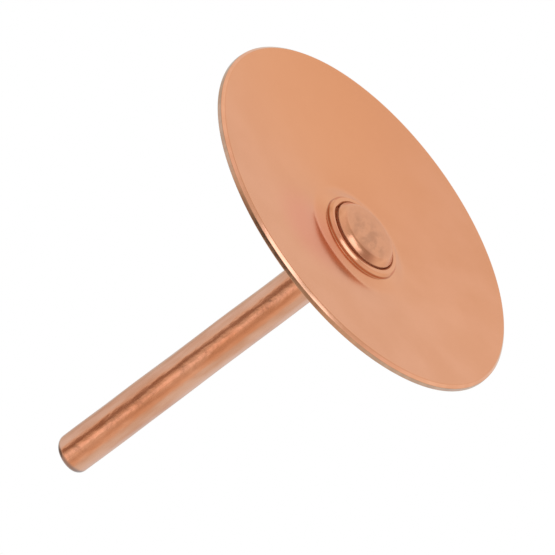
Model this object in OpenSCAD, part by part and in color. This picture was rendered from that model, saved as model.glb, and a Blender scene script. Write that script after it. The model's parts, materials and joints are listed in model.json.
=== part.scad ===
// Disc rivet: a thin, round, slightly dished copper disc held under the head of a
// plain copper pin. The pin passes through a raised hub that is pressed up out of
// the sheet, and its head is formed down onto the seat inside the hub's rolled bead.
// The rivet stands on its head with the pin upwards: the head's flat face lies on
// Z = 0, the pin's axis is the Z axis, and the disc is punched off centre along X.
// All sizes are in millimetres.

/* [Disc] */
// Diameter of the disc
disc_d = 20; // [16:0.5:30]
// Thickness of the sheet
sheet_t = 0.38; // [0.3:0.02:0.5]
// Depth of the dish from the middle of the disc to its rim, hollow on the head's side
dish = 0.65; // [0.2:0.05:0.7]
// Radius that blanking leaves round the rim, on the head's side
edge_round = 0.22; // [0.05:0.01:0.24]
// Distance from the pin's axis to the middle of the disc
disc_offset = 1.28; // [0:0.02:1.5]

/* [Hub] */
// Radius at which the raised hub leaves the sheet
hub_foot_r = 3; // [2.8:0.05:3.2]
// Height to which the hub's slope rises, where it meets the bead
slope_h = 0.1; // [0.08:0.01:0.2]
// Height of the seat inside the bead, above the sheet
seat_h = 0.27; // [0.24:0.01:0.3]
// Radius from the pin's axis to the crest of the bead
bead_r = 2.2; // [2.2:0.02:2.4]
// Height of the bead's crest above the sheet
bead_h = 0.41; // [0.37:0.01:0.42]
// Radius of the bead's rounded section
bead_round = 0.17; // [0.14:0.01:0.17]

/* [Pin] */
// Diameter of the pin
pin_d = 2.05; // [1.6:0.05:2.4]
// Length of the pin beyond the disc
pin_len = 19.9; // [10:0.1:40]
// Radius of the rounding at the pin's tip
tip_round = 0.45; // [0.1:0.05:0.7]
// Diameter of the head
head_d = 3.8; // [3.4:0.05:4]
// Thickness of the head
head_t = 0.5; // [0.45:0.01:0.8]
// Radius of the head's shoulder, round its flat face
shoulder_round = 0.34; // [0.05:0.01:0.35]

/* [Hidden] */
$fn = 180;
copper_face = [0.87, 0.62, 0.46];
copper_wire = [0.83, 0.56, 0.42];

// Small radius under the head's rim, where it is pressed into the hub
head_lip_round = 0.08;
// The neck swells by this much to fill the hole when the head is formed
neck_swell = 0.2;
// Height of the taper from the neck back to the wire's own size
neck_taper = 0.2;
// Steps that make up each rounded corner, and each side of the dish
corner_steps = 10;
dish_steps = 24;
// How far a cutting shape runs past the face that it cuts
overshoot = 0.3;

disc_r = disc_d / 2;
pin_r = pin_d / 2;
head_r = head_d / 2;
neck_r = pin_r + neck_swell;

// The dish is part of a sphere, whose radius follows from the disc's rise
dish_r = (disc_r * disc_r + dish * dish) / (2 * dish);
// Mean rise of the dish round the hub's foot, which is where the hub is measured from
foot_rise = (hub_foot_r * hub_foot_r + disc_offset * disc_offset) / (2 * dish_r);

// Heights up the pin's axis, from the head's flat face
seat_z = head_t;
sheet_z = seat_z + seat_h;
dish_top_z = sheet_z + foot_rise;
neck_z = seat_z + sheet_t;
tip_z = sheet_z + sheet_t + pin_len;

// The hub's outer slope runs from its foot up to the crease below the bead
bead_mid_h = bead_h - bead_round;
crease_r = bead_r + bead_round;
foot_slope = (hub_foot_r - crease_r) / slope_h;
buried_h = sheet_t / 2;
// The bead meets the seat at this angle round its own section
bead_end_a = 180 - asin((seat_h - bead_mid_h) / bead_round);
// The hollow behind the hub follows the bead, one sheet's thickness away
hollow_r = bead_r - bead_round / 2;

// Points along a round corner: centre, radius, first and last angle
function arc(x, y, r, a0, a1, steps) =
    [for (i = [0 : steps]) let (a = a0 + (a1 - a0) * i / steps) [x + r * cos(a), y + r * sin(a)]];

// Height of a sphere about the dish's centre, at one distance from the disc's axis
function dish_z(r, across) = dish_top_z - dish_r + sqrt(r * r - across * across);

// Section of the dished blank: the pin's side, the cut edge, the rounded rim and
// then the hollow side back to the middle
function blank_section() =
    let (
        corner_x = disc_r - edge_round,
        corner_z = dish_z(dish_r + edge_round, corner_x),
        lean = asin(corner_x / (dish_r + edge_round)),
        face_end = dish_r * sin(lean)
    )
    concat(
        [for (i = [0 : dish_steps]) let (x = disc_r * i / dish_steps) [x, dish_z(dish_r + sheet_t, x)]],
        arc(corner_x, corner_z, edge_round, 0, -90 - lean, corner_steps),
        [for (i = [dish_steps - 1 : -1 : 0]) let (x = face_end * i / dish_steps) [x, dish_z(dish_r, x)]]
    );

// Section of the raised hub, with Z running down from the sheet to the head
function hub_section() =
    concat(
        [[0, sheet_z + buried_h], [hub_foot_r + buried_h * foot_slope, sheet_z + buried_h]],
        [[crease_r, sheet_z - slope_h]],
        [for (p = arc(bead_r, bead_mid_h, bead_round, 0, bead_end_a, corner_steps)) [p[0], sheet_z - p[1]]],
        [[0, seat_z]]
    );

// Section of the hollow that is left behind the hub, on the pin's side
function hollow_section() =
    let (mouth_z = sheet_z + sheet_t + overshoot)
    [[0, neck_z], [hollow_r, neck_z], [hollow_r + mouth_z - neck_z, mouth_z], [0, mouth_z]];

// Section of the headed pin, from the head's flat face up to the rounded tip
function pin_section() =
    concat(
        [[0, 0]],
        arc(head_r - shoulder_round, shoulder_round, shoulder_round, -90, 0, corner_steps),
        arc(head_r - head_lip_round, head_t - head_lip_round, head_lip_round, 0, 90, corner_steps),
        [[neck_r, head_t], [neck_r, neck_z], [pin_r, neck_z + neck_taper]],
        arc(pin_r - tip_round, tip_z - tip_round, tip_round, 0, 90, corner_steps),
        [[0, tip_z]]
    );

module disc() {
    color(copper_face)
    difference() {
        union() {
            translate([disc_offset, 0, 0]) rotate_extrude() polygon(blank_section());
            rotate_extrude() polygon(hub_section());
        }
        rotate_extrude() polygon(hollow_section());
        translate([0, 0, seat_z - overshoot]) cylinder(r = neck_r, h = sheet_t + 2 * overshoot);
    }
}

module pin() {
    color(copper_wire)
    rotate_extrude() polygon(pin_section());
}

disc();
pin();
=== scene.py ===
"""Disc rivet: the looks of a dished copper disc held under the head of a copper pin.

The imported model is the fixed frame. The disc and the pin are each turned here from
one fine section, at the frame's own sizes, then worn into the small unevenness that
bright copper shows. The camera looks along the photograph's line of sight, from the
head's side.
"""

import json
from math import atan2, ceil, cos, degrees, exp, hypot, pi, radians, remainder, sin, tan

import bmesh
import bpy
from bpy.props import FloatProperty, FloatVectorProperty, IntProperty, PointerProperty
from bpy.types import Operator, Panel, PropertyGroup
from mathutils import Matrix, Vector, noise


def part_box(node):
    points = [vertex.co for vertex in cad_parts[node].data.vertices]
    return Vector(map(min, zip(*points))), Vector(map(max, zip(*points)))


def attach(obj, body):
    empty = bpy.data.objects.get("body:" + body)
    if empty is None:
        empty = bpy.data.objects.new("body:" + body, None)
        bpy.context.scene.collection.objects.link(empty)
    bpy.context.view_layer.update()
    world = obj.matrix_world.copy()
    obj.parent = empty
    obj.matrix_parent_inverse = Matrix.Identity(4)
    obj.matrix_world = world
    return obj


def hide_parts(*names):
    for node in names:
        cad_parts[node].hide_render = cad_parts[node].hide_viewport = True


bl_info = {
    "name": "Disc rivet",
    "version": (1, 0, 0),
    "blender": (4, 5, 0),
    "location": "3D Viewport > Sidebar > Rivet",
    "description": "Builds a dished copper disc held under the head of a copper pin",
    "category": "Add Mesh",
}

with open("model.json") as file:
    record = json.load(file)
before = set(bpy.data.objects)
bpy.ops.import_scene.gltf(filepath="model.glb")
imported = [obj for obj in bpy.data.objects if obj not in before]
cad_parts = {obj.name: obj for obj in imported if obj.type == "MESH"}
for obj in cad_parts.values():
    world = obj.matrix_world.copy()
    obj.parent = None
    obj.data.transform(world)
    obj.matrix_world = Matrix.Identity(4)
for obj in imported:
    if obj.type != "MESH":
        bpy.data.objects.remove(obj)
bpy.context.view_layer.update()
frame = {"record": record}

MM = 0.001
UM = 0.000001

# The frame's own sizes, which the fine meshes keep
DISC_LOW, DISC_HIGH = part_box("disc")
PIN_LOW, PIN_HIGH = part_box("pin")
SHANK = next(mount for mount in frame["record"]["mounts"] if mount["name"] == "shank")
DISC_R = (DISC_HIGH.x - DISC_LOW.x) / 2
DISC_X = (DISC_HIGH.x + DISC_LOW.x) / 2
HEAD_R = (PIN_HIGH.x - PIN_LOW.x) / 2
SHANK_R = SHANK["dims"]["r_mm"] * MM
# The photographed pin ends this far short of the solid's tip
TIP_CROP = 0.14 * MM
TIP_Z = PIN_HIGH.z - TIP_CROP

# Side of the square photograph, in pixels
PHOTO_SIDE = 555
# How many times nearer and further than the rivet the camera still sees
CLIP_RATIO = 10

# Widest turn between two points of a rounded corner, in degrees
BEND_STEP = 8
# Fewest steps round a corner
LEAST_STEPS = 3
# Length of one step along the straight stretches of a section
SECTION_STEP = 0.1 * MM
# Points that are closer than this are merged
MERGE_WITHIN = 0.05 * UM
# Bends up to this angle are shaded smooth
SMOOTH_BEND = radians(40)
# Slopes of the worn bevels on the bead and the head, and on the rim, from their flat faces
BEVEL_SLOPE = radians(47)
RIM_SLOPE = radians(48)
# Share of the rim bevel's width by which its burnish keeps clear of the bevel's bounds
BEVEL_MARGIN = 0.1
# Roundings that are too small to be worth a setting
CORNER_ROUND = 0.02 * MM
BURR_ROUND = 0.03 * MM
BEAD_ROUND = 0.05 * MM
CREASE_ROUND = 0.03 * MM
MOUTH_ROUND = 0.2 * MM

# Way in which the gap round the head stands open, and how far it does so to either side;
# over as much again it closes, and the rest of it is nearly shut
GAP_WAY = radians(250)
GAP_OPEN = radians(30)
# Reach of the sunken ring round the hub, the way it sinks most and how uneven it is
SINK_REACH = 1.6 * MM
SINK_WAY = radians(-100)
SINK_UNEVEN = 0.8
# Length of the waves in the sheet, the distance from the hub over which they set in, and
# the level at which they are cut from the noise
WARP_LENGTH = 6 * MM
WARP_EASE = 2 * MM
WARP_CUT = 0.37
# Length of the waves in the hub, the distance beyond it over which they die away, and
# the level at which they are cut from the noise
HUB_WAVE_LENGTH = 1.3 * MM
HUB_WAVE_REACH = 2 * MM
HUB_WAVE_CUT = 5.1
# Lengths of the waves across and along the wire, and the distance over which they set in
WIRE_WAVE_ACROSS = 0.9 * MM
WIRE_WAVE_ALONG = 3.2 * MM
WIRE_WAVE_EASE = 2 * MM
# Direction in which the slanted tip reaches furthest, how far before the tip the slant
# starts, and the distance over which it sets in
TIP_SLANT_WAY = radians(124)
TIP_SLANT_START = 2 * MM
TIP_SLANT_EASE = 1 * MM
# Length of the marks on the head's face, the level at which they are cut from the noise,
# and how far the noise is raised, so that they cover most of the face
HEAD_DENT_LENGTH = 0.8 * MM
HEAD_DENT_CUT = 1.7
HEAD_DENT_RAISE = 0.5
# Share of the head's thickness in which its crown fades away
CROWN_DEPTH = 0.3

# Each tone on the copper has its middle, the distances from there between which it fades,
# its strength in the middle and what is left of it beyond

# A warmer tone on the sheet, towards its rim
WARM = ((8.3 * MM, -2.9 * MM), 2 * MM, 12 * MM, 1, 0)
# A pinker patch on the sheet, beside the hub
BLUSH = ((-2 * MM, -3.6 * MM), 0.8 * MM, 3.2 * MM, 0.7, 0)
# A duller patch on the rim's bevel
DULL_PATCH = ((-7.2 * MM, -5.25 * MM), 0.35 * MM, 0.9 * MM, 0.8, 0)
# Painted shade on the head's shoulder, standing in for the dark that its bevel mirrors beside the
# highlight
SHOULDER_SHADE = ((-1.98 * MM, -0.27 * MM), 0.05 * MM, 0.9 * MM, 1, 0)
# The punch's marks on the head, which it struck a little off centre
BLOW = ((-0.45 * MM, -0.2 * MM), 0.6 * MM, 1.7 * MM, 1, 0.15)

# How far the marks of the punch are drawn out on the head, and the way they are
STRIKE_STRETCH = (2.2, 1, 1)
STRIKE_WAY = radians(217)
# Radii between which the struck face gives way to the head's bevel
FACE_EDGE = (1.4 * MM, 1.7 * MM)
# How far inside the head's rim the grime and painted shade on its wall start and are whole, and
# how much of the metal they hide
WALL_GRIME_AND_SHADE = (0.02 * MM, 0.01 * MM)
GRIME_AND_SHADE_COVER = 0.5
# Heights between which the hub's dirt and painted shade end, so that the hollow behind the hub is
# clean
DIRT_AND_SHADE_DEPTH = (0.78 * MM, 0.84 * MM)
# Radii between which the dirt and painted shade on the seat end, inside the bead, and the seat's
# added roughness
SEAT_EDGE = (2 * MM, 2.03 * MM)
SEAT_DULLNESS = 0.5
# Radius of the line of grime and painted shade in the crease below the bead, its half width and
# its fade
CREASE_R = 2.36 * MM
CREASE_HALF = 0.03 * MM
CREASE_FADE = 0.03 * MM
# Radii between which the polish of the pressed hub ends, and how much rougher the rest is
HUB_POLISH = (2.5 * MM, 2.9 * MM)
SHEET_DULLNESS = 0.06
# How deep the streaks on the cut edge are, against its own colour
EDGE_STREAKS = 0.85
# Length of the wire's dark end, where it was sheared, and the distance over which it fades
SHEARED_END = 0.42 * MM
SHEARED_FADE = 0.24 * MM


class RivetSizes(PropertyGroup):
    """Sizes of the disc, its hub and the headed pin"""

    sheet: FloatProperty(
        name="Sheet", description="Thickness of the disc's sheet",
        default=0.38 * MM, unit="LENGTH")
    dish: FloatProperty(
        name="Dish", description="Depth of the disc's hollow side",
        default=0.65 * MM, unit="LENGTH")
    rim_width: FloatProperty(
        name="Rim bevel", description="Width of the worn bevel on the head's side",
        default=0.145 * MM, unit="LENGTH")
    rim_round: FloatProperty(
        name="Rim rounding", description="Radius between the disc's face and the bevel",
        default=0.08 * MM, unit="LENGTH")
    foot_r: FloatProperty(
        name="Hub foot", description="Radius at which the hub leaves the sheet",
        default=3.12 * MM, unit="LENGTH")
    foot_round: FloatProperty(
        name="Foot rounding", description="Radius of the hollow curve round the hub's foot",
        default=2 * MM, unit="LENGTH")
    slope: FloatProperty(
        name="Slope height", description="Height of the hub's slope where it meets the bead",
        default=0.13 * MM, unit="LENGTH")
    seat: FloatProperty(
        name="Seat height", description="Height of the seat above the sheet",
        default=0.27 * MM, unit="LENGTH")
    bead_r: FloatProperty(
        name="Bead radius", description="Radius from the pin's axis to the bead's crest",
        default=2.2 * MM, unit="LENGTH")
    bead: FloatProperty(
        name="Bead height", description="Height of the bead's crest above the sheet",
        default=0.41 * MM, unit="LENGTH")
    bead_half: FloatProperty(
        name="Bead half width", description="Half the width of the bead",
        default=0.155 * MM, unit="LENGTH")
    bead_bevel: FloatProperty(
        name="Bead bevel", description="Width of the bead's outer bevel",
        default=0.125 * MM, unit="LENGTH")
    bead_lean: FloatProperty(
        name="Bead lean", description="How far the bead's inner side leans outwards",
        default=0.045 * MM, unit="LENGTH")
    head: FloatProperty(
        name="Head thickness", description="Thickness of the pin's head",
        default=0.5 * MM, unit="LENGTH")
    head_bevel: FloatProperty(
        name="Head bevel", description="Width of the bevel round the head's face",
        default=0.28 * MM, unit="LENGTH")
    shoulder: FloatProperty(
        name="Head shoulder", description="Radius between the head's face and its bevel",
        default=0.19 * MM, unit="LENGTH")
    lip: FloatProperty(
        name="Head lip", description="Radius under the head's rim",
        default=0.08 * MM, unit="LENGTH")
    neck_swell: FloatProperty(
        name="Neck swell", description="How far the neck swells to fill the hole",
        default=0.2 * MM, unit="LENGTH")
    neck_taper: FloatProperty(
        name="Neck taper", description="Length over which the neck runs back to the wire",
        default=0.2 * MM, unit="LENGTH")
    tip_round: FloatProperty(
        name="Tip rounding", description="Radius round the pin's tip",
        default=0.45 * MM, unit="LENGTH")
    segments: IntProperty(
        name="Segments", description="Steps round each turned piece",
        default=256, min=32, max=512)


class RivetWear(PropertyGroup):
    """How far the real pieces stray from their plain turned form"""

    warp: FloatProperty(
        name="Sheet warp", description="Height of the slow waves in the sheet",
        default=0.015 * MM, unit="LENGTH")
    sink: FloatProperty(
        name="Sink", description="How far pressing the hub sinks the sheet round it",
        default=0.17 * MM, unit="LENGTH")
    hub_wave: FloatProperty(
        name="Hub waves", description="Height of the unevenness of the pressed hub",
        default=0.012 * MM, unit="LENGTH")
    gap_shut: FloatProperty(
        name="Gap shut", description="How far the gap round the head closes on one side",
        default=0.14 * MM, unit="LENGTH")
    thinning: FloatProperty(
        name="Wire thinning", description="How much thinner the wire is at the disc's end",
        default=0.02 * MM, unit="LENGTH")
    wire_wave: FloatProperty(
        name="Wire waves", description="Height of the waves along the wire",
        default=0.02 * MM, unit="LENGTH")
    tip_slant: FloatProperty(
        name="Tip slant", description="How far the cut across the tip is out of square",
        default=radians(5), subtype="ANGLE")
    head_dent: FloatProperty(
        name="Head dents", description="Depth of the marks on the head's face",
        default=0.008 * MM, unit="LENGTH")
    head_crown: FloatProperty(
        name="Head crown", description="How far the head's face falls away to its bevel",
        default=0.04 * MM, unit="LENGTH")


class RivetFinish(PropertyGroup):
    """Colours of the copper"""

    sheet_colour: FloatVectorProperty(
        name="Sheet", description="Copper of the disc's faces",
        subtype="COLOR", size=3, min=0, max=1, default=(0.75, 0.35, 0.19))
    sheet_shade: FloatVectorProperty(
        name="Sheet shade", description="Deeper copper in the sheet's mottling",
        subtype="COLOR", size=3, min=0, max=1, default=(0.72, 0.325, 0.165))
    warm_colour: FloatVectorProperty(
        name="Sheet, warmer side", description="Colour of the sheet towards its warmer side",
        subtype="COLOR", size=3, min=0, max=1, default=(0.745, 0.322, 0.148))
    bevel_colour: FloatVectorProperty(
        name="Rim bevel", description="Burnished copper of the rim's worn bevel",
        subtype="COLOR", size=3, min=0, max=1, default=(0.84, 0.42, 0.25))
    edge_colour: FloatVectorProperty(
        name="Cut edge", description="Duller copper of the cut edge",
        subtype="COLOR", size=3, min=0, max=1, default=(0.62, 0.32, 0.18))
    wire_colour: FloatVectorProperty(
        name="Wire", description="Copper of the drawn pin",
        subtype="COLOR", size=3, min=0, max=1, default=(0.74, 0.34, 0.19))
    wire_shade: FloatVectorProperty(
        name="Wire shade", description="Deeper copper along the draw lines",
        subtype="COLOR", size=3, min=0, max=1, default=(0.64, 0.25, 0.12))
    # Painted shade: darker copper on the head's shoulder, for the dark that its bevel mirrors
    # there
    shoulder_shade: FloatVectorProperty(
        name="Tarnish", description="Darkened copper where the head was handled",
        subtype="COLOR", size=3, min=0, max=1, default=(0.42, 0.17, 0.09))
    # Grime with painted shade: darker brown copper in the gap round the head and in the crease
    # under the bead, where shade falls
    grime_and_shade: FloatVectorProperty(
        name="Grime", description="Brown dirt in the gap round the head and under the bead",
        subtype="COLOR", size=3, min=0, max=1, default=(0.6, 0.28, 0.15))
    # Dirt with painted shade on the seat, in the gap round the head, darkened where shade falls
    seat_dirt_and_shade: FloatVectorProperty(
        name="Dirt", description="Colour of the dirt on the seat, in the gap round the head",
        subtype="COLOR", size=3, min=0, max=1, default=(0.6, 0.17, 0.05))
    head_colour: FloatVectorProperty(
        name="Head face", description="Colour of the head's struck face",
        subtype="COLOR", size=3, min=0, max=1, default=(0.67, 0.3, 0.155))
    blush: FloatVectorProperty(
        name="Blush", description="Pinker copper where the sheet was pressed beside the hub",
        subtype="COLOR", size=3, min=0, max=1, default=(0.73, 0.27, 0.16))
    bruise: FloatVectorProperty(
        name="Bruise", description="Browner copper where the punch struck the head",
        subtype="COLOR", size=3, min=0, max=1, default=(0.53, 0.235, 0.12))
    sheared_tip: FloatVectorProperty(
        name="Sheared tip", description="Dull copper where the wire was cut to length",
        subtype="COLOR", size=3, min=0, max=1, default=(0.3, 0.17, 0.12))


class RivetView(PropertyGroup):
    """The photograph's line of sight and framing"""

    azimuth: FloatProperty(
        name="Azimuth", description="Turn of the line of sight about the pin's axis",
        default=radians(-53.3), subtype="ANGLE")
    elevation: FloatProperty(
        name="Elevation", description="Height of the eye above the head's face",
        default=radians(-26.71), subtype="ANGLE")
    pin_angle: FloatProperty(
        name="Pin angle", description="Direction of the pin in the picture, from its right",
        default=radians(216.87), subtype="ANGLE")
    disc_px: FloatVectorProperty(
        name="Disc centre", description="Middle of the disc in the picture, in pixels",
        size=2, default=(362.03, 218.1))
    scale_px: FloatProperty(
        name="Scale", description="Pixels of the picture to a millimetre",
        default=20.34)
    lens: FloatProperty(
        name="Lens", description="Focal length in millimetres",
        default=1500)


def run(start, end):
    """Points along a straight stretch of a section, in even steps, without its end."""
    across = end[0] - start[0]
    along = end[1] - start[1]
    count = max(1, round(hypot(across, along) / SECTION_STEP))
    return [(start[0] + across * i / count, start[1] + along * i / count) for i in range(count)]


def bend(before, corner, after, radius):
    """Points round one corner of a section, on an arc that meets both of its sides."""
    here = Vector(corner)
    back = (Vector(before) - here).normalized()
    ahead = (Vector(after) - here).normalized()
    half = back.angle(ahead) / 2
    middle = here + (back + ahead).normalized() * radius / sin(half)
    start = here + back * radius / tan(half) - middle
    end = here + ahead * radius / tan(half) - middle
    sweep = atan2(start.x * end.y - start.y * end.x, start.dot(end))
    steps = max(LEAST_STEPS, ceil(abs(degrees(sweep)) / BEND_STEP))
    turns = [sweep * i / steps for i in range(steps + 1)]
    return [
        (
            middle.x + start.x * cos(a) - start.y * sin(a),
            middle.y + start.x * sin(a) + start.y * cos(a),
        )
        for a in turns
    ]


def rounded(corners, closed):
    """A section through corners (radius, height, rounding), in short even steps."""
    count = len(corners)
    stretches = []
    for i, (x, z, rounding) in enumerate(corners):
        before = corners[i - 1][:2]
        after = corners[(i + 1) % count][:2]
        stretches.append(bend(before, (x, z), after, rounding) if rounding else [(x, z)])
    points = []
    for i, stretch in enumerate(stretches):
        points += stretch[:-1]
        if closed or i < count - 1:
            points += run(stretch[-1], stretches[(i + 1) % count][0])
        else:
            points.append(stretch[-1])
    return points


def smooth(value):
    """Eases from 0 to 1 and holds beyond both ends."""
    value = min(1, max(0, value))
    return value * value * (3 - 2 * value)


def turned(section, closed, segments):
    """A solid of revolution about the pin's axis, from points (radius, height)."""
    bm = bmesh.new()
    verts = [bm.verts.new((radius, 0, height)) for radius, height in section]
    pairs = list(zip(verts, verts[1:]))
    if closed:
        pairs.append((verts[-1], verts[0]))
    edges = [bm.edges.new(pair) for pair in pairs]
    bmesh.ops.spin(
        bm, geom=verts + edges, cent=(0, 0, 0), axis=(0, 0, 1), angle=2 * pi,
        steps=segments, use_merge=True)
    bmesh.ops.remove_doubles(bm, verts=bm.verts, dist=MERGE_WITHIN)
    bmesh.ops.recalc_face_normals(bm, faces=bm.faces)
    return bm


def piece_from(bm, name, materials):
    """Makes a shaded object of a finished mesh, with its place in the mesh."""
    mesh = bpy.data.meshes.new(name)
    bm.to_mesh(mesh)
    bm.free()
    for material in materials:
        mesh.materials.append(material)
    mesh.shade_smooth()
    mesh.set_sharp_from_angle(angle=SMOOTH_BEND)
    piece = bpy.data.objects.new(name, mesh)
    bpy.context.collection.objects.link(piece)
    return piece


def new_material(name):
    """A metal node material, with its tree and its shader, ready to be wired."""
    material = bpy.data.materials.new(name)
    material.use_nodes = True
    shader = material.node_tree.nodes["Principled BSDF"]
    shader.inputs["Metallic"].default_value = 1
    return material, material.node_tree, shader


def wire_up(tree, shader, values):
    """Links each finished value to the shader's socket of that name."""
    for socket, value in values.items():
        tree.links.new(value, shader.inputs[socket])


def grain(tree, per_mm, detail, stretch=(1, 1, 1), turn=0):
    """Noise with so many waves to a millimetre, stretched along axes turned about Z."""
    place = tree.nodes.new("ShaderNodeTexCoord")
    mapping = tree.nodes.new("ShaderNodeMapping")
    mapping.vector_type = "TEXTURE"
    mapping.inputs["Rotation"].default_value = (0, 0, turn)
    mapping.inputs["Scale"].default_value = stretch
    texture = tree.nodes.new("ShaderNodeTexNoise")
    texture.inputs["Scale"].default_value = per_mm / MM
    texture.inputs["Detail"].default_value = detail
    tree.links.new(place.outputs["Object"], mapping.inputs["Vector"])
    tree.links.new(mapping.outputs["Vector"], texture.inputs["Vector"])
    return texture.outputs["Fac"]


def between(tree, value, low, high, start=0.3, end=0.7):
    """Eases a value from low at the start to high at the end; the usual limits suit noise."""
    node = tree.nodes.new("ShaderNodeMapRange")
    node.interpolation_type = "SMOOTHSTEP"
    node.inputs["From Min"].default_value = start
    node.inputs["From Max"].default_value = end
    node.inputs["To Min"].default_value = low
    node.inputs["To Max"].default_value = high
    tree.links.new(value, node.inputs["Value"])
    return node.outputs["Result"]


def blend_colour(tree, factor, first, second, blend="MIX"):
    """Mixes or multiplies two colours; either may be a socket."""
    node = tree.nodes.new("ShaderNodeMix")
    node.data_type = "RGBA"
    node.blend_type = blend
    tree.links.new(factor, node.inputs["Factor"])
    for socket, colour in ((node.inputs["A"], first), (node.inputs["B"], second)):
        if isinstance(colour, bpy.types.NodeSocket):
            tree.links.new(colour, socket)
        else:
            socket.default_value = (*colour, 1)
    return node.outputs["Result"]


def raise_grain(tree, height, depth, below=None):
    """Bumps the surface by a noise value, over another bump if one is given."""
    node = tree.nodes.new("ShaderNodeBump")
    node.inputs["Strength"].default_value = 1
    node.inputs["Distance"].default_value = depth
    tree.links.new(height, node.inputs["Height"])
    if below is not None:
        tree.links.new(below, node.inputs["Normal"])
    return node.outputs["Normal"]


def maths(tree, operation, first, second=0):
    """A math node on one value or two; either may be a socket or a number."""
    node = tree.nodes.new("ShaderNodeMath")
    node.operation = operation
    for socket, value in zip(node.inputs, (first, second)):
        if isinstance(value, bpy.types.NodeSocket):
            tree.links.new(value, socket)
        else:
            socket.default_value = value
    return node.outputs["Value"]


def band(tree, value, middle, half, feather):
    """A value of 1 up to half away from the middle, which fades to 0 over the feather."""
    off = maths(tree, "ABSOLUTE", maths(tree, "SUBTRACT", value, middle))
    return between(tree, off, 1, 0, half - feather / 2, half + feather / 2)


def from_axis(tree, x=0, y=0):
    """Distance from an upright axis and height above the head's face, as two sockets."""
    place = tree.nodes.new("ShaderNodeTexCoord")
    parts = tree.nodes.new("ShaderNodeSeparateXYZ")
    tree.links.new(place.outputs["Object"], parts.inputs["Vector"])
    x_squared = maths(tree, "POWER", maths(tree, "SUBTRACT", parts.outputs["X"], x), 2)
    y_squared = maths(tree, "POWER", maths(tree, "SUBTRACT", parts.outputs["Y"], y), 2)
    radius = maths(tree, "SQRT", maths(tree, "ADD", x_squared, y_squared))
    return radius, parts.outputs["Z"]


def tone(tree, middle, near, far, strength, left):
    """How strongly a tone shows, from its strength near its middle to what is left far off."""
    away, _ = from_axis(tree, *middle)
    return between(tree, away, strength, left, near, far)


def sheet_copper(look):
    """Rolled sheet: faintly lined, smooth on its pressed hub, with grime and painted shade in the
    crease and dirt and painted shade on the seat.
    """
    material, tree, shader = new_material("rolled_copper_sheet")
    mottle = between(tree, grain(tree, per_mm=0.35, detail=3), 0, 1)
    colour = blend_colour(tree, mottle, look.sheet_colour, look.sheet_shade)
    colour = blend_colour(tree, tone(tree, *WARM), colour, look.warm_colour)
    colour = blend_colour(tree, tone(tree, *BLUSH), colour, look.blush)
    radius, height = from_axis(tree)
    head_side = between(tree, height, 1, 0, *DIRT_AND_SHADE_DEPTH)
    # Grime and painted shade in the crease under the bead
    crease = band(tree, radius, CREASE_R, CREASE_HALF, CREASE_FADE)
    crease = maths(tree, "MULTIPLY", crease, head_side)
    colour = blend_colour(tree, crease, colour, look.grime_and_shade)
    # Dirt and painted shade on the seat inside the bead
    seat = between(tree, radius, 1, 0, *SEAT_EDGE)
    seat = maths(tree, "MULTIPLY", seat, head_side)
    colour = blend_colour(tree, seat, colour, look.seat_dirt_and_shade)
    rough = between(tree, grain(tree, per_mm=0.8, detail=4), low=0.15, high=0.19)
    rough = maths(tree, "ADD", rough, between(tree, radius, 0, SHEET_DULLNESS, *HUB_POLISH))
    rough = maths(tree, "ADD", rough, maths(tree, "MULTIPLY", seat, SEAT_DULLNESS))
    lines = raise_grain(tree, grain(tree, per_mm=6, detail=3, stretch=(20, 1, 1)), depth=0.15 * UM)
    waves = raise_grain(tree, grain(tree, per_mm=0.9, detail=2), depth=1.2 * UM, below=lines)
    wire_up(tree, shader, {
        "Base Color": colour,
        "Metallic": maths(tree, "SUBTRACT", 1, seat),
        "Roughness": rough,
        "Normal": waves,
    })
    return material


def bevel_copper(look):
    """The rim's bevel, burnished bright by handling, with a duller patch."""
    material, tree, shader = new_material("burnished_copper_bevel")
    rubs = between(tree, grain(tree, per_mm=1.2, detail=3), 0, 0.6)
    colour = blend_colour(tree, rubs, look.bevel_colour, look.sheet_colour)
    colour = blend_colour(tree, tone(tree, *DULL_PATCH), colour, look.edge_colour)
    rough = between(tree, grain(tree, per_mm=3, detail=3), low=0.14, high=0.2)
    wire_up(tree, shader, {"Base Color": colour, "Roughness": rough})
    return material


def edge_copper(look):
    """The blank's cut edge: duller, and streaked across its thickness."""
    material, tree, shader = new_material("sheared_copper_edge")
    streaks = between(tree, grain(tree, per_mm=2, detail=3, stretch=(1, 1, 7)), 0, 1)
    deep = tuple(channel * EDGE_STREAKS for channel in look.edge_colour)
    colour = blend_colour(tree, streaks, look.edge_colour, deep)
    rough = between(tree, grain(tree, per_mm=4, detail=3), low=0.18, high=0.26)
    shear = raise_grain(tree, grain(tree, per_mm=3, detail=2, stretch=(1, 1, 5)), depth=1.5 * UM)
    wire_up(tree, shader, {"Base Color": colour, "Roughness": rough, "Normal": shear})
    return material


def wire_copper(look):
    """Drawn wire: fine lines along its length, slow knocks and a dark sheared end."""
    material, tree, shader = new_material("drawn_copper_wire")
    mottle = between(tree, grain(tree, per_mm=1.6, detail=4, stretch=(1, 1, 4)), 0, 1)
    colour = blend_colour(tree, mottle, look.wire_colour, look.wire_shade)
    _, height = from_axis(tree)
    sheared = band(tree, height, TIP_Z, SHEARED_END, SHEARED_FADE)
    colour = blend_colour(tree, sheared, colour, look.sheared_tip)
    rough = between(tree, grain(tree, per_mm=3, detail=4, stretch=(1, 1, 5)), low=0.16, high=0.26)
    drawn = raise_grain(tree, grain(tree, per_mm=4, detail=3, stretch=(1, 1, 20)), depth=5 * UM)
    bumps = grain(tree, per_mm=1.5, detail=3, stretch=(1, 1, 2))
    knocks = raise_grain(tree, bumps, depth=38 * UM, below=drawn)
    wire_up(tree, shader, {"Base Color": colour, "Roughness": rough, "Normal": knocks})
    return material


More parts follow.
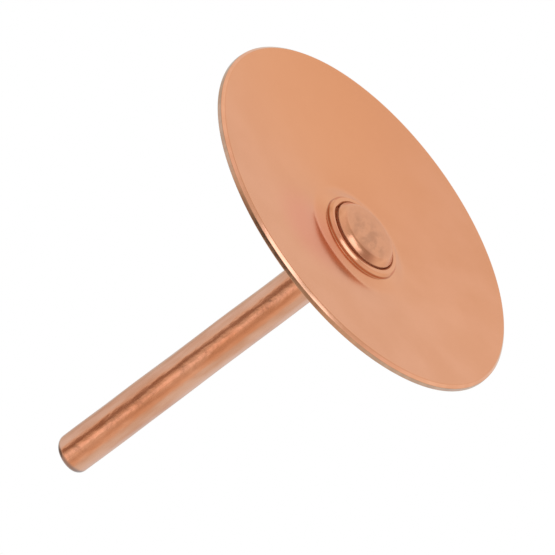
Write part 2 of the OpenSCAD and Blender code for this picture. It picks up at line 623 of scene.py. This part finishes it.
def head_copper(look):
    """The formed head: mottled where the punch struck it, with painted shade on its shoulder, and
    grime and painted shade on its wall.
    """
    material, tree, shader = new_material("struck_copper_head")
    radius, _ = from_axis(tree)
    face = between(tree, radius, 1, 0, *FACE_EDGE)
    colour = blend_colour(tree, face, look.sheet_colour, look.head_colour)
    marks = grain(tree, per_mm=1.7, detail=3, stretch=STRIKE_STRETCH, turn=STRIKE_WAY)
    marks = between(tree, marks, 0, 1, start=0.4, end=0.62)
    marks = maths(tree, "MULTIPLY", marks, tone(tree, *BLOW))
    colour = blend_colour(tree, marks, colour, look.bruise)
    # Painted shade on the shoulder, where the bevel mirrors something dark
    colour = blend_colour(tree, tone(tree, *SHOULDER_SHADE), colour, look.shoulder_shade)
    # Grime and painted shade on the head's wall, in the gap
    clean_r, dirty_r = (HEAD_R - inside for inside in WALL_GRIME_AND_SHADE)
    wall = between(tree, radius, 0, 1, clean_r, dirty_r)
    colour = blend_colour(tree, wall, colour, look.grime_and_shade)
    covered = maths(tree, "MULTIPLY", wall, GRIME_AND_SHADE_COVER)
    blows = grain(tree, per_mm=2.2, detail=3, stretch=STRIKE_STRETCH, turn=STRIKE_WAY)
    wire_up(tree, shader, {
        "Base Color": colour,
        "Metallic": maths(tree, "SUBTRACT", 1, covered),
        "Roughness": between(tree, grain(tree, per_mm=3, detail=4), low=0.17, high=0.26),
        "Normal": raise_grain(tree, blows, depth=6 * UM),
    })
    return material


def disc_section(sizes):
    """Section of the disc about the pin's axis, not yet dished, from the hole and back."""
    level = sizes.head + sizes.seat
    top = level + sizes.sheet
    neck_r = SHANK_R + sizes.neck_swell
    crest_z = level - sizes.bead
    bead_in = sizes.bead_r - sizes.bead_half
    bead_out = sizes.bead_r + sizes.bead_half
    hollow_r = sizes.bead_r - sizes.bead_half / 2
    floor_z = sizes.head + sizes.sheet
    corners = [
        (neck_r, sizes.head, CORNER_ROUND),
        (bead_in, sizes.head, CORNER_ROUND),
        (bead_in + sizes.bead_lean, crest_z, CORNER_ROUND),
        (bead_out - sizes.bead_bevel, crest_z, BEAD_ROUND),
        (bead_out, crest_z + sizes.bead_bevel * tan(BEVEL_SLOPE), 2 * CORNER_ROUND),
        (bead_out, level - sizes.slope, CREASE_ROUND),
        (sizes.foot_r, level, sizes.foot_round),
        (DISC_R - sizes.rim_width, level, sizes.rim_round),
        (DISC_R, level + sizes.rim_width * tan(RIM_SLOPE), 2 * CORNER_ROUND),
        (DISC_R, top, BURR_ROUND),
        (hollow_r + top - floor_z, top, MOUTH_ROUND),
        (hollow_r, floor_z, 2 * CORNER_ROUND),
        (neck_r, floor_z, CORNER_ROUND),
    ]
    return rounded(corners, closed=True)


def close_gap(bm, sizes, wear):
    """Presses the bead in towards the head, except where the gap stands open."""
    neck_r = SHANK_R + sizes.neck_swell
    bead_in = sizes.bead_r - sizes.bead_half
    for vert in bm.verts:
        x, y, _ = vert.co
        radius = hypot(x, y)
        off_way = abs(remainder(atan2(y, x) - GAP_WAY, 2 * pi))
        shut = wear.gap_shut * smooth((off_way - GAP_OPEN) / GAP_OPEN)
        shut *= smooth((radius - neck_r) / (bead_in - neck_r))
        shut *= 1 - smooth((radius - bead_in) / sizes.bead_half)
        vert.co.xy = (x - shut * x / radius, y - shut * y / radius)


def sheet_strays(x, y, sizes, wear):
    """How far one place on the disc rises, with its waves, or sinks round the hub."""
    radius = hypot(x, y)
    away = max(0, radius - sizes.foot_r) / SINK_REACH
    uneven = SINK_UNEVEN * cos(atan2(y, x) - SINK_WAY) * away * exp(-away)
    sunk = wear.sink * (1 - exp(-away) + uneven)
    warp = wear.warp * noise.noise((x / WARP_LENGTH, y / WARP_LENGTH, WARP_CUT))
    warp *= smooth((radius - sizes.foot_r) / WARP_EASE)
    crease_r = sizes.bead_r + sizes.bead_half
    place = (x / HUB_WAVE_LENGTH, y / HUB_WAVE_LENGTH, HUB_WAVE_CUT)
    hub_wave = wear.hub_wave * noise.noise(place)
    hub_wave *= smooth((radius - HEAD_R) / (crease_r - HEAD_R))
    hub_wave *= 1 - smooth((radius - crease_r) / HUB_WAVE_REACH)
    return hub_wave - sunk - warp


def dish_disc(bm, sizes, wear):
    """Slides the rings from the pin's axis to the disc's own, and dishes the sheet."""
    top = sizes.head + sizes.seat + sizes.sheet
    dish = sizes.dish - wear.sink
    dish_r = (DISC_R**2 + dish**2) / (2 * dish)
    foot_rise = (sizes.foot_r**2 + DISC_X**2) / (2 * dish_r)
    crease_r = sizes.bead_r + sizes.bead_half
    for vert in bm.verts:
        x, y, z = vert.co
        radius = hypot(x, y)
        share = smooth((radius - crease_r) / (sizes.foot_r - crease_r))
        slid = x + DISC_X * smooth((radius - sizes.foot_r) / (DISC_R - sizes.foot_r))
        across = hypot(slid - DISC_X, y)
        inwards = 1 + share * min(0, z - top) / dish_r
        fall = share * (across**2 / (2 * dish_r) - foot_rise)
        strays = sheet_strays(x, y, sizes, wear)
        vert.co = (DISC_X + (slid - DISC_X) * inwards, y * inwards, z - fall + strays)


def pin_section(sizes):
    """Section of the headed pin, from the head's flat face up to the tip."""
    neck_r = SHANK_R + sizes.neck_swell
    neck_z = sizes.head + sizes.sheet
    corners = [
        (0, 0, 0),
        (HEAD_R - sizes.head_bevel, 0, sizes.shoulder),
        (HEAD_R, sizes.head_bevel * tan(BEVEL_SLOPE), 2 * CORNER_ROUND),
        (HEAD_R, sizes.head, sizes.lip),
        (neck_r, sizes.head, CORNER_ROUND),
        (neck_r, neck_z, CORNER_ROUND),
        (SHANK_R, neck_z + sizes.neck_taper, 2 * CORNER_ROUND),
        (SHANK_R, TIP_Z, sizes.tip_round),
        (0, TIP_Z, 0),
    ]
    return rounded(corners, closed=False)


def mark_head(vert, sizes, wear):
    """Gives one point of the head its share of the crown and of the punch's marks."""
    share = hypot(vert.co.x, vert.co.y) / HEAD_R
    place = (vert.co.x / HEAD_DENT_LENGTH, vert.co.y / HEAD_DENT_LENGTH, HEAD_DENT_CUT)
    dent = wear.head_dent * max(0, HEAD_DENT_RAISE + noise.noise(place)) * (1 - smooth(share))
    fade = 1 - smooth(vert.co.z / (CROWN_DEPTH * sizes.head))
    vert.co.z += dent + wear.head_crown * share**3 * fade


def wear_wire(vert, wire_start, sizes, wear):
    """Thins and waves one point of the wire, and slants its tip."""
    along = smooth((vert.co.z - wire_start) / WIRE_WAVE_EASE)
    left = 1 - (vert.co.z - wire_start) / (TIP_Z - wire_start)
    place = (
        vert.co.x / WIRE_WAVE_ACROSS, vert.co.y / WIRE_WAVE_ACROSS,
        vert.co.z / WIRE_WAVE_ALONG)
    change = wear.wire_wave * noise.noise(place) - wear.thinning * left
    scale = 1 + along * change / SHANK_R
    slant_way = Vector((cos(TIP_SLANT_WAY), sin(TIP_SLANT_WAY)))
    slant = slant_way.dot(vert.co.xy) - SHANK_R + sizes.tip_round
    slanted = smooth((vert.co.z - TIP_Z + TIP_SLANT_START) / TIP_SLANT_EASE)
    vert.co.z = min(vert.co.z + slant * tan(wear.tip_slant) * slanted, TIP_Z)
    vert.co.x *= scale
    vert.co.y *= scale


def wear_pin(bm, sizes, wear):
    """Gives the wire its slow waves and the head's face its dents."""
    wire_start = sizes.head + sizes.sheet + sizes.neck_taper
    for vert in bm.verts:
        if vert.co.z < sizes.head - sizes.lip:
            mark_head(vert, sizes, wear)
        elif vert.co.z > wire_start:
            wear_wire(vert, wire_start, sizes, wear)


class RIVET_OT_disc(Operator):
    """Build the dished copper disc with its raised hub"""

    bl_idname = "rivet.disc"
    bl_label = "Build disc"

    def execute(self, context):
        sizes = context.scene.rivet_sizes
        wear = context.scene.rivet_wear
        look = context.scene.rivet_finish
        bm = turned(disc_section(sizes), closed=True, segments=sizes.segments)
        margin = BEVEL_MARGIN * sizes.rim_width
        for face in bm.faces:
            radius = face.calc_center_median().xy.length
            on_rim = radius > DISC_R - sizes.rim_width + margin
            on_edge = radius > DISC_R - margin
            face.material_index = on_rim + on_edge
        close_gap(bm, sizes, wear)
        dish_disc(bm, sizes, wear)
        finishes = [sheet_copper(look), bevel_copper(look), edge_copper(look)]
        piece = piece_from(bm, "copper_disc", finishes)
        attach(piece, "root")
        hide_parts("disc")
        return {"FINISHED"}


class RIVET_OT_pin(Operator):
    """Build the headed copper pin"""

    bl_idname = "rivet.pin"
    bl_label = "Build pin"

    def execute(self, context):
        sizes = context.scene.rivet_sizes
        look = context.scene.rivet_finish
        bm = turned(pin_section(sizes), closed=False, segments=sizes.segments)
        for face in bm.faces:
            if face.calc_center_median().z < sizes.head:
                face.material_index = 1
        wear_pin(bm, sizes, context.scene.rivet_wear)
        piece = piece_from(bm, "copper_pin", [wire_copper(look), head_copper(look)])
        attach(piece, "root")
        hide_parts("pin")
        return {"FINISHED"}


def eye_axes(view):
    """Right, up and back of the photograph's camera, in the frame's own directions."""
    flat = cos(view.elevation)
    back = Vector((
        sin(view.azimuth) * flat, -cos(view.azimuth) * flat, sin(view.elevation)))
    level_up = (Vector((0, 0, 1)) - back * back.z).normalized()
    level_right = level_up.cross(back)
    right = level_up * cos(view.pin_angle) + level_right * sin(view.pin_angle)
    up = level_up * sin(view.pin_angle) - level_right * cos(view.pin_angle)
    return right, up, back


def place_camera(view, sizes):
    """A long lens on the photograph's line of sight, framed as the photograph is."""
    right, up, back = eye_axes(view)
    rim_z = DISC_LOW.z + sizes.sheet / 2
    middle = PHOTO_SIDE / 2
    across = (view.disc_px[0] - middle) / view.scale_px * MM
    above = (middle - view.disc_px[1]) / view.scale_px * MM
    target = Vector((DISC_X, 0, rim_z)) - right * across - up * above
    data = bpy.data.cameras.new("photo_camera")
    data.lens = view.lens
    distance = view.lens * PHOTO_SIDE / view.scale_px * MM / data.sensor_width
    data.clip_start = distance / CLIP_RATIO
    data.clip_end = distance * CLIP_RATIO
    camera = bpy.data.objects.new("photo_camera", data)
    turn = Matrix((right, up, back)).transposed().to_4x4()
    camera.matrix_world = Matrix.Translation(target + back * distance) @ turn
    bpy.context.collection.objects.link(camera)
    bpy.context.scene.camera = camera


# What the copper mirrors round it, by height in degrees: white where the wall behind the
# object is, and overhead, greyer straight below and warmer towards the horizon
SURROUNDINGS = (
    (-90, (0.7, 0.68, 0.67)),
    (-66, (0.7, 0.68, 0.67)),
    (-57, (0.76, 0.73, 0.72)),
    (-47, (0.92, 0.86, 0.88)),
    (-38, (0.95, 0.92, 0.92)),
    (-30, (1, 1, 1)),
    (-24, (1, 1, 1)),
    (-17, (0.94, 0.89, 0.84)),
    (-5, (0.9, 0.85, 0.8)),
    (15, (0.95, 0.93, 0.91)),
    (90, (1, 1, 1)),
)
# Lights, dark gaps and tinted sides: for each its name, its turn from the eye's side and
# its height, each with half its width, and its feather, all in degrees, and the colour by
# which it multiplies the surroundings
CARDS = (
    ("key softbox", (-6, 42), (-60, 5), 4, (2.7, 3.15, 3.85)),
    ("lower key", (18, 30), (-70.5, 5.5), 4, (2.8, 2.9, 3.55)),
    ("dim lower key", (-25, 13), (-70.5, 5.5), 4, (1.15, 1.2, 1.3)),
    ("camera", (0, 30), (-32, 6), 6, (0.6, 0.55, 0.5)),
    ("dark horizon", (16, 20), (11, 11), 6, (0.22, 0.24, 0.28)),
    ("dim horizon", (10, 38), (11, 11), 16, (0.5, 0.48, 0.46)),
    ("bright strip", (6, 10), (32, 10), 8, (1.45, 1.45, 1.6)),
    ("dark gap left", (44, 12), (30, 12), 12, (0.42, 0.32, 0.28)),
    ("pale side left", (92, 26), (28, 22), 22, (0.93, 1.22, 1.58)),
    ("grey edge left", (150, 34), (28, 22), 16, (0.8, 0.92, 0.95)),
    ("grey edge right", (-162, 20), (28, 22), 16, (0.85, 0.92, 0.92)),
    ("dark gap right", (-26, 12), (30, 12), 14, (0.87, 0.83, 0.81)),
    ("pale side right", (-101, 42), (28, 22), 30, (0.92, 1.2, 1.5)),
    ("dim side left", (95, 30), (-14, 12), 12, (0.75, 0.68, 0.62)),
    ("dark above", (100, 50), (62, 14), 12, (0.35, 0.33, 0.3)),
)
# Strength of the surroundings on plain, unmirrored surfaces
AMBIENT = 0.6


def surroundings(tree, height):
    """Colour of the surroundings at a height, from the bands above."""
    share = maths(tree, "ADD", maths(tree, "DIVIDE", height, pi), 0.5)
    node = tree.nodes.new("ShaderNodeValToRGB")
    node.color_ramp.interpolation = "EASE"
    elements = node.color_ramp.elements
    while len(elements) < len(SURROUNDINGS):
        elements.new(0.5)
    for element, (angle, colour) in zip(elements, SURROUNDINGS):
        element.position = (angle + 90) / 180
        element.color = (*colour, 1)
    tree.links.new(share, node.inputs["Fac"])
    return node.outputs["Color"]


def look_round(tree, view):
    """Turn from the eye's side, and height, of each direction round the rivet."""
    place = tree.nodes.new("ShaderNodeTexCoord")
    facing = tree.nodes.new("ShaderNodeVectorRotate")
    facing.rotation_type = "Z_AXIS"
    facing.inputs["Angle"].default_value = radians(90) - view.azimuth
    tree.links.new(place.outputs["Generated"], facing.inputs["Vector"])
    parts = tree.nodes.new("ShaderNodeSeparateXYZ")
    tree.links.new(facing.outputs["Vector"], parts.inputs["Vector"])
    turn = maths(tree, "ARCTAN2", parts.outputs["Y"], parts.outputs["X"])
    height = maths(tree, "ARCSINE", parts.outputs["Z"])
    return turn, height


def studio_world(view):
    """White surroundings, with soft lights and dark gaps that only the copper sees."""
    world = bpy.data.worlds.new("studio")
    world.use_nodes = True
    bpy.context.scene.world = world
    world.cycles.sampling_method = "NONE"
    tree = world.node_tree
    turn, height = look_round(tree, view)
    light = surroundings(tree, height)
    for name, (turn_middle, turn_half), (height_middle, height_half), feather, tint in CARDS:
        sides = band(tree, turn, radians(turn_middle), radians(turn_half), radians(feather))
        ends = band(tree, height, radians(height_middle), radians(height_half), radians(feather))
        share = maths(tree, "MULTIPLY", sides, ends)
        light = blend_colour(tree, share, light, tint, "MULTIPLY")
        light.node.label = name
    seen = tree.nodes.new("ShaderNodeLightPath")
    mirrored = maths(
        tree, "MAXIMUM", seen.outputs["Is Glossy Ray"], seen.outputs["Is Transmission Ray"])
    plain = between(tree, seen.outputs["Is Camera Ray"], AMBIENT, 1, 0, 1)
    background = tree.nodes["Background"]
    tree.links.new(blend_colour(tree, mirrored, (1, 1, 1), light), background.inputs["Color"])
    tree.links.new(maths(tree, "MAXIMUM", mirrored, plain), background.inputs["Strength"])


# Pale floor: its reach, the shares of that between which it fades out, how far it lies
# below the head, and its look
FLOOR_R = 120 * MM
FLOOR_FADE = (0.4, 0.95)
FLOOR_DROP = 0.005 * MM
FLOOR_SEGMENTS = 96
FLOOR_COLOUR = (0.86, 0.86, 0.86)
FLOOR_ROUGHNESS = 0.8


def floor_white():
    """Pale matt card that fades out with distance and isn't seen from below."""
    material = bpy.data.materials.new("pale_floor")
    material.use_nodes = True
    tree = material.node_tree
    shader = tree.nodes["Principled BSDF"]
    shader.inputs["Base Color"].default_value = (*FLOOR_COLOUR, 1)
    shader.inputs["Roughness"].default_value = FLOOR_ROUGHNESS
    radius, _ = from_axis(tree)
    fade_start, fade_end = (FLOOR_R * share for share in FLOOR_FADE)
    faded = between(tree, radius, 0, 1, fade_start, fade_end)
    side = tree.nodes.new("ShaderNodeNewGeometry")
    hidden = maths(tree, "MAXIMUM", faded, side.outputs["Backfacing"])
    clear = tree.nodes.new("ShaderNodeBsdfTransparent")
    mixed = tree.nodes.new("ShaderNodeMixShader")
    tree.links.new(hidden, mixed.inputs["Fac"])
    tree.links.new(shader.outputs["BSDF"], mixed.inputs[1])
    tree.links.new(clear.outputs["BSDF"], mixed.inputs[2])
    tree.links.new(mixed.outputs["Shader"], tree.nodes["Material Output"].inputs["Surface"])
    return material


def lay_floor():
    """Lays the floor under the head; only the eye sees it."""
    bm = bmesh.new()
    bmesh.ops.create_circle(bm, cap_ends=True, radius=FLOOR_R, segments=FLOOR_SEGMENTS)
    bmesh.ops.translate(bm, vec=(0, 0, -FLOOR_DROP), verts=bm.verts)
    bmesh.ops.recalc_face_normals(bm, faces=bm.faces)
    if next(iter(bm.faces)).normal.z < 0:
        bmesh.ops.reverse_faces(bm, faces=bm.faces)
    floor = piece_from(bm, "floor", [floor_white()])
    floor.visible_diffuse = False
    floor.visible_glossy = False
    floor.visible_transmission = False
    floor.visible_shadow = False


# Soft lamp above the pin: its place, its width and its power in watts
LAMP_PLACE = (60 * MM, -80 * MM, 300 * MM)
LAMP_WIDTH = 160 * MM
LAMP_POWER = 0.5


def hang_lamp():
    """A wide soft lamp above the pin, which the copper doesn't mirror."""
    data = bpy.data.lights.new("soft_lamp", "AREA")
    data.shape = "DISK"
    data.size = LAMP_WIDTH
    data.energy = LAMP_POWER
    lamp = bpy.data.objects.new("soft_lamp", data)
    lamp.location = LAMP_PLACE
    lamp.rotation_euler = Vector(lamp.location).to_track_quat("Z", "Y").to_euler()
    lamp.visible_glossy = False
    bpy.context.collection.objects.link(lamp)


class RIVET_OT_stage(Operator):
    """Build the camera, the pale floor and the soft studio light"""

    bl_idname = "rivet.stage"
    bl_label = "Build stage"

    def execute(self, context):
        scene = context.scene
        scene.view_settings.view_transform = "Standard"
        place_camera(scene.rivet_view, scene.rivet_sizes)
        studio_world(scene.rivet_view)
        lay_floor()
        hang_lamp()
        return {"FINISHED"}


class RIVET_PT_panel(Panel):
    """Lists the rivet's sizes and the steps that build it"""

    bl_label = "Disc rivet"
    bl_idname = "RIVET_PT_panel"
    bl_space_type = "VIEW_3D"
    bl_region_type = "UI"
    bl_category = "Rivet"

    def draw(self, context):
        for step in OPERATORS:
            self.layout.operator(step.bl_idname)
        for group in SETTINGS:
            settings = getattr(context.scene, group)
            box = self.layout.box()
            for name in settings.__annotations__:
                box.prop(settings, name)


SETTINGS = {
    "rivet_sizes": RivetSizes,
    "rivet_wear": RivetWear,
    "rivet_finish": RivetFinish,
    "rivet_view": RivetView,
}
OPERATORS = (RIVET_OT_disc, RIVET_OT_pin, RIVET_OT_stage)


def register():
    """Registers the settings, the steps that build the rivet, and the panel."""
    for name, group in SETTINGS.items():
        bpy.utils.register_class(group)
        setattr(bpy.types.Scene, name, PointerProperty(type=group))
    for step in (*OPERATORS, RIVET_PT_panel):
        bpy.utils.register_class(step)


def unregister():
    """Takes away all that was registered."""
    for step in (*OPERATORS, RIVET_PT_panel):
        bpy.utils.unregister_class(step)
    for name, group in SETTINGS.items():
        delattr(bpy.types.Scene, name)
        bpy.utils.unregister_class(group)


def main():
    """Builds the rivet and its stage."""
    register()
    bpy.ops.rivet.disc()
    bpy.ops.rivet.pin()
    bpy.ops.rivet.stage()


if __name__ == "__main__":
    main()
